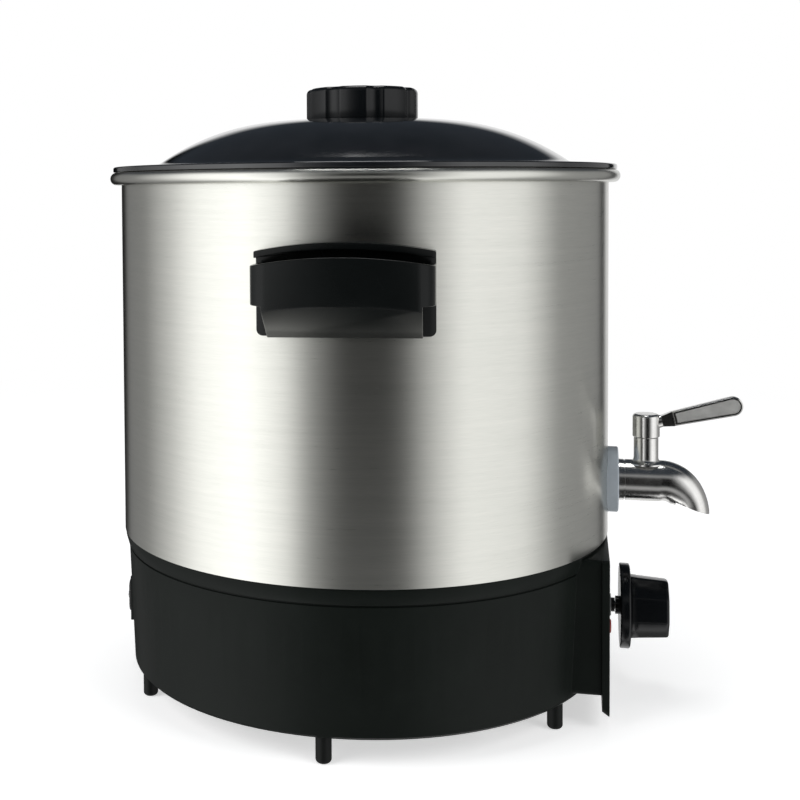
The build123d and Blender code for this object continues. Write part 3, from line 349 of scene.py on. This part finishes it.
def brushed_steel():
    """Level streaks in colour, roughness and bump, under a reflection smeared up and down."""
    f = Finish("brushed_steel", (0.62, 0.615, 0.60), metallic=1.0, roughness=0.3)
    f.skin.inputs["Anisotropic"].default_value = 0.8
    upright = f.add("ShaderNodeCombineXYZ", {2: 1.0}).outputs[0]
    f.tree.links.new(upright, f.skin.inputs["Tangent"])
    angle, height = f.around((axis_x, 0, 0))
    drawn = f.add("ShaderNodeCombineXYZ", {0: f.math("MULTIPLY", angle, streak_stretch), 1: 0.0, 2: height})
    fine = f.add("ShaderNodeTexNoise", {"Vector": drawn.outputs[0], "Scale": 2600.0, "Detail": 2.0})
    broad = f.add("ShaderNodeTexNoise", {"Vector": drawn.outputs[0], "Scale": 320.0, "Detail": 4.0})
    cloud = f.noise(9.0, 2.0)
    fine_half = f.math("MULTIPLY", fine.outputs["Fac"], 0.5)
    broad_half = f.math("MULTIPLY", broad.outputs["Fac"], 0.5)
    streak = f.math("ADD", fine_half, broad_half)
    grain = f.math("ADD", f.math("MULTIPLY", streak, 0.8), f.math("MULTIPLY", cloud, 0.2))
    f.colour(grain, (0.30, (0.575, 0.58, 0.54)), (0.52, (0.64, 0.642, 0.60)), (0.72, (0.70, 0.695, 0.65)))
    f.rough(grain, 0.24, 0.33)
    f.bump(streak, 0.00001, 0.4)
    return f.material


def polished_steel(name="polished_steel", low=0.07, high=0.16):
    """Mirror finish, with faint swirls and handling marks."""
    f = Finish(name, (0.72, 0.715, 0.70), metallic=1.0)
    swirl = f.noise(70.0, 4.0)
    mark = f.noise(900.0, 3.0, stretch=(1, 1, 0.12))
    f.colour(swirl, (0.3, (0.66, 0.655, 0.64)), (0.7, (0.76, 0.755, 0.74)))
    f.rough(f.math("MULTIPLY", f.math("ADD", swirl, mark), 0.5), low, high)
    f.bump(mark, 0.00001, 0.5)
    return f.material


steel = brushed_steel()
polish = polished_steel()
print("steels:", steel.name, polish.name)

# %% [markdown]
# The lid is pressed steel under black vitreous enamel. Enamel is glass: it is glossy, a little uneven
# where it flowed in the kiln, and specked with tiny pinholes. The moulded plastics are duller, with a
# fine spark-eroded grain from the mould. One function makes all of those, because only numbers differ.

# %% Enamel and moulded plastics
def enamel():
    """Black glass on steel: a clear coat, a slow flow in the surface and rare pinholes."""
    f = Finish("lid_enamel", (0.008, 0.009, 0.010), roughness=0.1)
    f.skin.inputs["Coat Weight"].default_value = 0.6
    f.skin.inputs["Coat Roughness"].default_value = 0.04
    flow = f.noise(28.0, 2.0)
    speck = f.noise(1500.0, 2.0)
    f.colour(flow, (0.3, (0.006, 0.007, 0.008)), (0.7, (0.012, 0.013, 0.015)))
    f.rough(flow, 0.05, 0.11)
    first = f.bump(flow, 0.00025, 0.35)
    f.bump(f.math("GREATER_THAN", speck, 0.74), 0.00002, 0.2, over=first)
    return f.material


def moulded(name, colour, rough_low, rough_high, grain=1400.0, depth=0.00003, warp=0.00005, shine=0.5):
    """Moulded plastic: a grain from the mould, slow clouds of shine and paler rubbed spots."""
    f = Finish(name, colour)
    f.skin.inputs["Specular IOR Level"].default_value = shine
    tooth = f.noise(grain, 3.0)
    cloud = f.noise(16.0, 3.0)
    rubbed = f.noise(45.0, 5.0, roughness=0.7)
    mix = f.math("ADD", f.math("MULTIPLY", cloud, 0.7), f.math("MULTIPLY", rubbed, 0.3))
    f.colour(mix, (0.3, shade(colour, 0.78)), (0.55, colour), (0.75, shade(colour, 1.3)))
    f.rough(f.math("MULTIPLY", f.math("ADD", mix, tooth), 0.5), rough_low, rough_high)
    first = f.bump(cloud, warp, 0.25)
    f.bump(tooth, depth, 0.5, over=first)
    return f.material


black_enamel = enamel()
base_plastic = moulded("base_plastic", (0.0058, 0.0078, 0.0066), 0.32, 0.44, shine=0.09)
handle_plastic = moulded("handle_plastic", (0.004, 0.005, 0.005), 0.16, 0.27, depth=0.00002, shine=0.17)
knob_plastic = moulded("knob_plastic", (0.005, 0.006, 0.007), 0.14, 0.24, depth=0.00001, shine=0.3)
foot_plastic = moulded("foot_plastic", (0.006, 0.007, 0.0065), 0.40, 0.55, shine=0.12)
grey_silicone = moulded("grey_silicone", (0.36, 0.40, 0.44), 0.42, 0.56, grain=700.0)
milky_silicone = moulded("silicone", (0.62, 0.60, 0.55), 0.40, 0.55, grain=700.0)
white_plastic = moulded("white_plastic", (0.72, 0.71, 0.68), 0.35, 0.5)
inlet_plastic = moulded("inlet_plastic", (0.013, 0.013, 0.014), 0.25, 0.4)
ceramic = moulded("ceramic", (0.78, 0.75, 0.68), 0.5, 0.7, grain=500.0)
print("plastics:", [m.name for m in bpy.data.materials if "plastic" in m.name])

# %% [markdown]
# What isn't seen at first still needs its own finish: screws, the aluminium heater plate, copper for
# the sensor, and the coloured wires. They share two functions, one for metal and the moulded one.

# %% Other metals, the lens and the wires
def plain_metal(name, colour, low, high, stretch=(1, 1, 1)):
    """Cast, turned or drawn metal: stained clouds, tool marks along one way and dull worn spots."""
    f = Finish(name, colour, metallic=1.0)
    cloud = f.noise(60.0, 4.0)
    tool = f.noise(1100.0, 2.0, stretch=stretch)
    f.colour(cloud, (0.3, shade(colour, 0.75)), (0.6, colour), (0.8, shade(colour, 1.12)))
    f.rough(f.math("MULTIPLY", f.math("ADD", cloud, tool), 0.5), low, high)
    f.bump(tool, 0.00003, 0.5)
    return f.material


def red_lens():
    """Clear red plastic with a dim glow and a fine bump."""
    f = Finish("red_lens", (0.30, 0.012, 0.010), roughness=0.12)
    f.skin.inputs["Transmission Weight"].default_value = 0.25
    f.skin.inputs["Emission Strength"].default_value = 0.02
    f.skin.inputs["Emission Color"].default_value = (0.9, 0.05, 0.03, 1)
    cloud = f.noise(300.0, 2.0)
    f.colour(cloud, (0.3, (0.20, 0.008, 0.008)), (0.7, (0.34, 0.02, 0.014)))
    f.rough(cloud, 0.08, 0.2)
    f.bump(f.noise(900.0, 1.0), 0.00003, 0.3)
    return f.material


hardware = plain_metal("steel_hardware", (0.58, 0.58, 0.57), 0.22, 0.38, stretch=(1, 1, 0.2))
aluminium = plain_metal("aluminium", (0.66, 0.66, 0.67), 0.32, 0.5)
copper = plain_metal("copper", (0.72, 0.36, 0.22), 0.2, 0.35)
satin = plain_metal("steel_hardware", (0.80, 0.80, 0.78), 0.50, 0.62, stretch=(0.3, 1, 1))
tap_steel = polished_steel("polished_steel", 0.15, 0.26)
lens_red = red_lens()
brown_wire = moulded("brown_wire", (0.13, 0.055, 0.025), 0.3, 0.45)
blue_wire = moulded("blue_wire", (0.03, 0.10, 0.42), 0.3, 0.45)
green_wire = moulded("green_wire", (0.10, 0.33, 0.05), 0.3, 0.45)
print("materials:", len(bpy.data.materials))

# %% [markdown]
# Turned pieces come first, because most of the brewer was spun, pressed or turned. A short outline in
# millimetres, with its round stretches as arcs, is spun round an axis. Real sheet never ends in a
# knife edge, so every corner of an outline that shows gets a small arc.

# %% Helpers for outlines and turned meshes
def arc(centre, radius, start, end, steps=10):
    """Points on an arc, the angles in degrees from the outward side, turning upwards."""
    for i in range(steps + 1):
        angle = radians(start + (end - start) * i / steps)
        yield centre[0] + radius * cos(angle), centre[1] + radius * sin(angle)


def lathe(outline, centre, axis=UP, steps=240):
    """Spins (radius, along) points round an axis that starts at centre; its ends lie on the axis."""
    bm = bmesh.new()
    side = axis.orthogonal().normalized()
    points = [centre + mm * (radius * side + along * axis) for radius, along in outline]
    verts = [bm.verts.new(point) for point in points]
    edges = [bm.edges.new(pair) for pair in zip(verts, verts[1:])]
    bmesh.ops.spin(bm, geom=verts + edges, cent=centre, axis=axis, angle=2 * pi, steps=steps, use_merge=True)
    bmesh.ops.remove_doubles(bm, verts=bm.verts, dist=1e-6)
    bmesh.ops.recalc_face_normals(bm, faces=bm.faces)
    return bm


def from_node(node):
    """A merged copy of a node's mesh, so that its faces share their corners."""
    bm = bmesh.new()
    bm.from_mesh(nodes[node].data)
    bmesh.ops.remove_doubles(bm, verts=bm.verts, dist=0.2e-6)
    return bm


def eased(bm, width, corner=50, flat=0.6):
    """Joins the triangles of flat faces and rounds every edge sharper than corner, in degrees."""
    bmesh.ops.dissolve_limit(bm, angle_limit=radians(flat), verts=bm.verts, edges=bm.edges)
    hard = [edge for edge in bm.edges if edge.calc_face_angle(0) > radians(corner)]
    bmesh.ops.bevel(bm, geom=hard, offset=width * mm, offset_type="OFFSET", segments=3, affect="EDGES",
                    profile=0.5, material=-1, clamp_overlap=False, loop_slide=True)
    return bm


def piece(name, bm, material, body, *replaced, sharp=35):
    """Finishes a mesh: smooth but for its hard edges, riding a body, in place of the nodes named."""
    for face in bm.faces:
        face.smooth = True
    for edge in bm.edges:
        edge.smooth = len(edge.link_faces) == 2 and edge.calc_face_angle(0) < radians(sharp)
    mesh = bpy.data.meshes.new(name)
    bm.to_mesh(mesh)
    bm.free()
    mesh.materials.append(material)
    thing = bpy.data.objects.new(name, mesh)
    bpy.context.scene.collection.objects.link(thing)
    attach(thing, body)
    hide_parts(*replaced)
    print(name, len(mesh.polygons), "faces", [round(v, 4) for v in thing.dimensions])
    return thing


# %% Pot with its rolled rim
floor_thick, skirt, floor_corner = 1.2, 6.0, 4.0
wall_out, wall_in = pot_radius / mm, (pot_radius - sheet) / mm
bead_r = bead / mm
bead_circle, bead_z = rim_outside / mm - bead_r, rim_top / mm - bead_r
steel_z = steel_low / mm
turn_in = acos((bead_circle - wall_out) / bead_r) * 180 / pi


def pot_shell():
    """Floor, skirt, wall and rolled rim, and then the inside back down to the floor."""
    floor_z = steel_z + skirt + floor_thick
    outline = [(0, floor_z - floor_thick), (wall_in, floor_z - floor_thick)]
    outline += [(wall_in, steel_z), (wall_out, steel_z)]
    outline += arc((bead_circle, bead_z), bead_r, turn_in - 180, 180, steps=28)
    outline += arc((wall_in - floor_corner, floor_z + floor_corner), floor_corner, 0, -90)
    outline += [(0, floor_z)]
    return lathe(outline, pot_axis, steps=360)


piece("pot_shell", pot_shell(), steel, "brewer", "pot")

# %% [markdown]
# The lid is one pressed sheet. Its edge is folded down and rests on the rim, a gutter just inside
# keeps it centred, and the dome rises from there: a hollow round at its foot, a long shoulder and an
# almost flat middle that takes the knob. The sheet's underside follows its top.

# %% Domed lid
lid_low, lid_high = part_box("lid_dome")
flange_r = (lid_high.y - lid_low.y) / 2 / mm
dome_top = lid_high.z / mm
flat_rise, dome_rise = 0.5, 33.6
shoulder_r, foot_r = 170.0, 20.0
flange_z = dome_top - flat_rise - dome_rise
sheet_lid = 1.2
gutter_r, gutter_half, gutter_deep = wall_in - 5.0, 5.0, 5.0
gutter_floor, gutter_ease = 2.0, 0.4
dome_margin = 7.1                   # flat ring between the gutter and the dome's foot
edge_round, hem_round = 1.3, 0.7
dome_foot = gutter_r - gutter_half - dome_margin
dome_slope = acos((shoulder_r + foot_r - dome_rise) / (shoulder_r + foot_r))
dome_flat = dome_foot - (shoulder_r + foot_r) * sin(dome_slope)


def dome_face(inset):
    """Upper face of the lid from the middle to the edge, or its underside when inset is not 0."""
    top, slope = flange_z - inset, dome_slope * 180 / pi
    points = [(0, top + dome_rise + flat_rise), (dome_flat / 2, top + dome_rise + flat_rise * 0.8)]
    crest = (dome_flat, top + dome_rise + inset - shoulder_r)
    points += arc(crest, shoulder_r - inset, 90, 90 - slope, steps=28)
    points += list(arc((dome_foot, top + foot_r + inset), foot_r + inset, 270 - slope, 270, steps=12))[1:]
    points += [(gutter_r - gutter_half, top), (gutter_r - gutter_floor, top - gutter_deep + gutter_ease)]
    points += [(gutter_r, top - gutter_deep), (gutter_r + gutter_floor, top - gutter_deep + gutter_ease)]
    return points + [(gutter_r + gutter_half, top)]


def lid_shell():
    """Upper face, folded edge and underside, as one outline."""
    hem_z = rim_top / mm
    outline = dome_face(0)
    outline += arc((flange_r - edge_round, flange_z - edge_round), edge_round, 90, 0, steps=6)
    outline += arc((flange_r - hem_round, hem_z + hem_round), hem_round, 0, -180, steps=8)
    outline += [(flange_r - 2 * hem_round, flange_z - sheet_lid)]
    return lathe(outline + dome_face(sheet_lid)[::-1], pot_axis, steps=360)


piece("domed_lid", lid_shell(), black_enamel, "lid", "lid_dome")

# %% [markdown]
# Fluted and faceted grips can't be turned. Their section still changes slowly along the axis, so each
# is a stack of rings: a ring of points is made, extruded upwards again and again, and every point is
# set at a radius that depends on its angle, which cuts the flutes into the whole height at once.

# %% Helper for fluted grips
def stacked(levels, centre, axis, side, steps):
    """Rings at (along, reach) levels in millimetres; reach gives that ring's radius at an angle."""
    bm = bmesh.new()
    across = axis.cross(side)

    def place(ring, along, reach):
        for i, vert in enumerate(ring):
            angle = 2 * pi * i / steps
            radius = max(0.0, reach(angle))
            vert.co = centre + mm * (radius * (cos(angle) * side + sin(angle) * across) + along * axis)

    ring = bmesh.ops.create_circle(bm, segments=steps, radius=1)["verts"]
    place(ring, *levels[0])
    first = list(ring)
    for level in levels[1:]:
        edges = [bm.edges.get((ring[i - 1], ring[i])) for i in range(steps)]
        made = bmesh.ops.extrude_edge_only(bm, edges=edges)
        fresh = [v for v in made["geom"] if isinstance(v, bmesh.types.BMVert)]
        partner = {}
        for vert in fresh:
            for edge in vert.link_edges:
                other = edge.other_vert(vert)
                if other not in fresh:
                    partner[other] = vert
        ring = [partner[vert] for vert in ring]
        place(ring, *level)
    for end in (first, ring):
        bm.faces.new(end)
    bmesh.ops.recalc_face_normals(bm, faces=bm.faces)
    return bm


# %% Fluted knob of the lid
knob_low, knob_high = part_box("lid_knob")
grip_radius = 41.7
grip_height = (knob_high.z - knob_low.z) / mm
grip_lobes, flute_radius, flute_depth, flute_edge = 8, 9.0, 3.4, 2.2
top_round = 4.0


def fluted(inset):
    """A ring drawn in by inset, with round hollows that have eased edges."""

    def reach(angle):
        turn = 2 * pi / grip_lobes
        off = abs((angle % turn) - turn / 2)
        flute_middle = grip_radius + flute_radius - flute_depth
        if flute_middle * sin(off) >= flute_radius:
            hollow = grip_radius
        else:
            half_chord = (flute_radius**2 - (flute_middle * sin(off)) ** 2) ** 0.5
            hollow = flute_middle * cos(off) - half_chord
        gap = grip_radius - min(hollow, grip_radius)
        ease = flute_edge / 2
        soft = grip_radius - (gap**2 + ease**2) ** 0.5 + ease if gap else grip_radius
        return soft - inset

    return reach


def lid_knob():
    """Upright flutes, a small chamfer below and a large round above."""
    levels = [(0.0, 1.0), (0.3, 0.4), (1.0, 0.0), (grip_height / 2, 0.0)]
    rounding = arc((0, 0), top_round, 0, 90, steps=7)
    levels += [(grip_height - top_round + along, top_round - radial) for radial, along in rounding]
    levels += [(grip_height, 2 * top_round)]
    rings = [(along, fluted(inset)) for along, inset in levels]
    return stacked(rings, Vector((axis_x, 0, knob_low.z)), UP, OUT, steps=384)


piece("fluted_lid_knob", lid_knob(), knob_plastic, "lid", "lid_knob", sharp=50)

# %% [markdown]
# The base is one big moulding: a drum that widens slightly upwards to a flared lip, with a box in
# front that carries the control panel. The handles are mouldings too, screwed on from inside the pot.

# %% Base housing, handles and control panel
base_edge, grip_edge = 0.4, 0.7     # widths of the rounded edges, in millimetres
piece("base_shell", eased(from_node("base_housing"), base_edge), base_plastic, "brewer", "base_housing")
for side_name in ("near", "far"):
    grip = eased(from_node(f"{side_name}_handle"), grip_edge)
    piece(f"{side_name}_grip", grip, handle_plastic, "brewer", f"{side_name}_handle")


def bevelled(bm, edges, width, segments):
    """Rounds the edges given, by a width in millimetres."""
    bmesh.ops.bevel(bm, geom=edges, offset=width * mm, offset_type="OFFSET", segments=segments,
                    affect="EDGES", profile=0.5, material=-1, clamp_overlap=True)


panel_corner, panel_edge = 5.0, 0.9
panel_slant = 3.6                   # how much further down its face reaches than its back


def front_panel():
    """A plate with rounded corners and a softened face."""
    low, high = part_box("control_panel")
    bm = bmesh.new()
    bmesh.ops.create_cube(bm, size=1.0)
    for vert in bm.verts:
        vert.co = (low + high) / 2 + Vector(a * b for a, b in zip(vert.co, high - low))
    through = [e for e in bm.edges if abs((e.verts[0].co - e.verts[1].co).normalized().x) > 0.9]
    bevelled(bm, through, panel_corner, 8)
    face_edges = [e for e in bm.edges if all(v.co.x > high.x - 1e-5 for v in e.verts)]
    bevelled(bm, face_edges, panel_edge, 3)
    # The lower end is cut at a slant, so that the face reaches lower than the back.
    for vert in bm.verts:
        if vert.co.z < low.z + (panel_corner + 0.2) * mm:
            vert.co.z -= panel_slant * mm * (vert.co.x - low.x) / (high.x - low.x)
    return bm


piece("front_panel", front_panel(), base_plastic, "brewer", "control_panel")

# %% [markdown]
# The thermostat's knob is a hub and a round skirt that are turned, and a grip with soft facets that
# isn't. The same stack of rings makes both, because each ring may have an outline of its own.

# %% Knob of the thermostat
dial_low, dial_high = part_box("thermostat_knob")
dial_axis = middle("thermostat_knob")
skirt_radius = (dial_high.y - dial_low.y) / 2 / mm
hub_radius, hub_length, skirt_thick = 6.5, 3.0, 7.3
skirt_back, skirt_front, skirt_flat = 0.9, 1.6, 1.2
dial_radius, dial_taper, dial_length, dial_round = 23.2, 1.8, 26.8, 2.2
dial_facets, facet_turn, facet_share = 8, 0.55, 0.58


def turned(radius):
    """A plain round ring."""
    return lambda angle: radius


def faceted(inset):
    """A ring of wide soft facets, drawn in by inset."""

    def reach(angle):
        turn = 2 * pi / dial_facets
        off = (angle + facet_turn) % turn - turn / 2
        flat = dial_radius * cos(turn / 2) / cos(off)
        return (1 - facet_share) * dial_radius + facet_share * flat - inset

    return reach


def thermostat_knob():
    """Hub, skirt with two rounded edges, and a tapered grip with a slightly sunk end."""
    top = hub_length + skirt_thick
    end = top + dial_length
    rings = [(0, turned(hub_radius)), (hub_length, turned(hub_radius))]
    rings += [(hub_length, turned(skirt_radius - skirt_back))]
    for radial, along in arc((0, 0), skirt_back, 90, 0, 3):
        rings += [(hub_length + skirt_back - along, turned(skirt_radius - skirt_back + radial))]
    for radial, along in arc((0, 0), skirt_front, 0, 90, 4):
        rings += [(top - skirt_front + along, turned(skirt_radius - skirt_front + radial))]
    rings += [(top, turned(dial_radius + skirt_flat)), (top, faceted(0.0)), (top + 0.4, faceted(-0.2))]
    for quarter in (0.25, 0.5, 0.75, 1.0):
        rings += [(top + (dial_length - dial_round) * quarter, faceted(dial_taper * quarter))]
    for radial, along in arc((0, 0), dial_round, 0, 90, 5):
        rings += [(end - dial_round + along, faceted(dial_taper + dial_round - radial))]
    rings += [(end - 0.5, faceted(dial_taper + 6.0)), (end - 0.9, faceted(dial_taper + 14.0))]
    return stacked(rings, Vector((dial_low.x, 0, dial_axis.z)), OUT, ACROSS, steps=192)


piece("faceted_dial", thermostat_knob(), knob_plastic, "knob", "thermostat_knob", sharp=40)

# %% [markdown]
# The tap is a small casting of polished stainless steel. Its barrel, its turned-down spout and its
# upright neck flow into each other, the cap over the neck is turned, and the lever is a flat bar.

# %% Tap
piece("tap_casting", from_node("tap_body"), tap_steel, "brewer", "tap_body", sharp=28)
piece("tap_cap_turned", from_node("tap_cap"), tap_steel, "tap_lever", "tap_cap", sharp=28)

# Only the sunk faces of the lever are blasted dull; its border, neck and shank stay polished.
lever = piece("lever_bar", from_node("tap_lever"), tap_steel, "tap_lever", "tap_lever", sharp=28)
lever.data.materials.append(satin)
lever_middle = middle("tap_lever").y
border_depth = 2.2 * mm
for polygon in lever.data.polygons:
    corners = [lever.data.vertices[i].co for i in polygon.vertices]
    sunk = all(abs(corner.y - lever_middle) < border_depth for corner in corners)
    if sunk and abs(polygon.normal.y) > 0.9:
        polygon.material_index = 1
piece("seal_outside", from_node("tap_outer_washer"), grey_silicone, "brewer", "tap_outer_washer", sharp=28)

# %% [markdown]
# The feet are rubber stubs with a round toe and a thinner peg that plugs into the base. The lamp is a
# low red lens with a rim. All of them are turned, so one outline each is enough.

# %% Feet and lamp
foot_flat, toe_round, foot_shows = 2.6, 2.65, 18.2
peg_radius, peg_top = 4.0, 26.0
foot_outline = [(0, 0), (foot_flat, 0)] + list(arc((foot_flat, toe_round), toe_round, -90, 0, 8))
foot_outline += [(foot_flat + toe_round, foot_shows), (peg_radius, foot_shows)]
foot_outline += [(peg_radius, peg_top), (0, peg_top)]
for number in range(1, 7):
    foot = f"foot_{number}"
    stand_at = middle(foot)
    place = Vector((stand_at.x, stand_at.y, 0))
    piece(f"rubber_{foot}", lathe(foot_outline, place, steps=40), foot_plastic, "brewer", foot)

lamp_middle = middle("indicator_lens")
lamp_at = Vector((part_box("indicator_lens")[0].x, lamp_middle.y, lamp_middle.z))
lamp_outline = [(0, 0), (6.0, 0), (6.0, 0.5), (5.7, 0.8), (4.9, 0.8)]
lamp_outline += list(arc((3.6, 0.6), 1.2, 0, 90, 6)) + [(0, 2.0)]
piece("lamp_lens", lathe(lamp_outline, lamp_at, OUT, steps=48), lens_red, "brewer", "indicator_lens")

# %% [markdown]
# What is left are pieces that keep the frame's own shape: screws, nuts, the heater, wires and the
# mains inlet. Each takes the finish of what it is made from, so that the brewer is right from below
# and with its lid off too.

# %% Finishes for the nodes that keep their shape
finish_of = {
    hardware: ["pot_studs", "stud_washers", "stud_nuts", "handle_screws", "lid_screw", "panel_screws",
               "cover_screws", "thermostat_spindle", "thermostat_nut", "element_terminals", "bulb_clip",
               "inlet_pins", "inlet_screws", "block_screws", "tap_locknut", "tap_plug"],
    polish: ["false_bottom"],
    aluminium: ["heater_plate", "thermal_cutout"],
    plain_metal("element_sheath", (0.30, 0.29, 0.28), 0.4, 0.6): ["heating_element"],
    copper: ["sensor_bulb", "capillary"],
    base_plastic: ["bottom_cover"],
    inlet_plastic: ["power_inlet", "thermostat_body"],
    white_plastic: ["indicator_body"],
    ceramic: ["terminal_block"],
    milky_silicone: ["handle_washers", "tap_inner_washer", "lid_washer"],
    brown_wire: ["live_wires"],
    blue_wire: ["neutral_wires"],
    green_wire: ["earth_wire"],
}
for material, names in finish_of.items():
    for name in names:
        nodes[name].data.materials.clear()
        nodes[name].data.materials.append(material)
covered = sum(len(names) for names in finish_of.values())
print("nodes that keep their shape:", covered, "of", len(nodes))

# %% Bring the scene up to date at the end
bpy.context.view_layer.update()
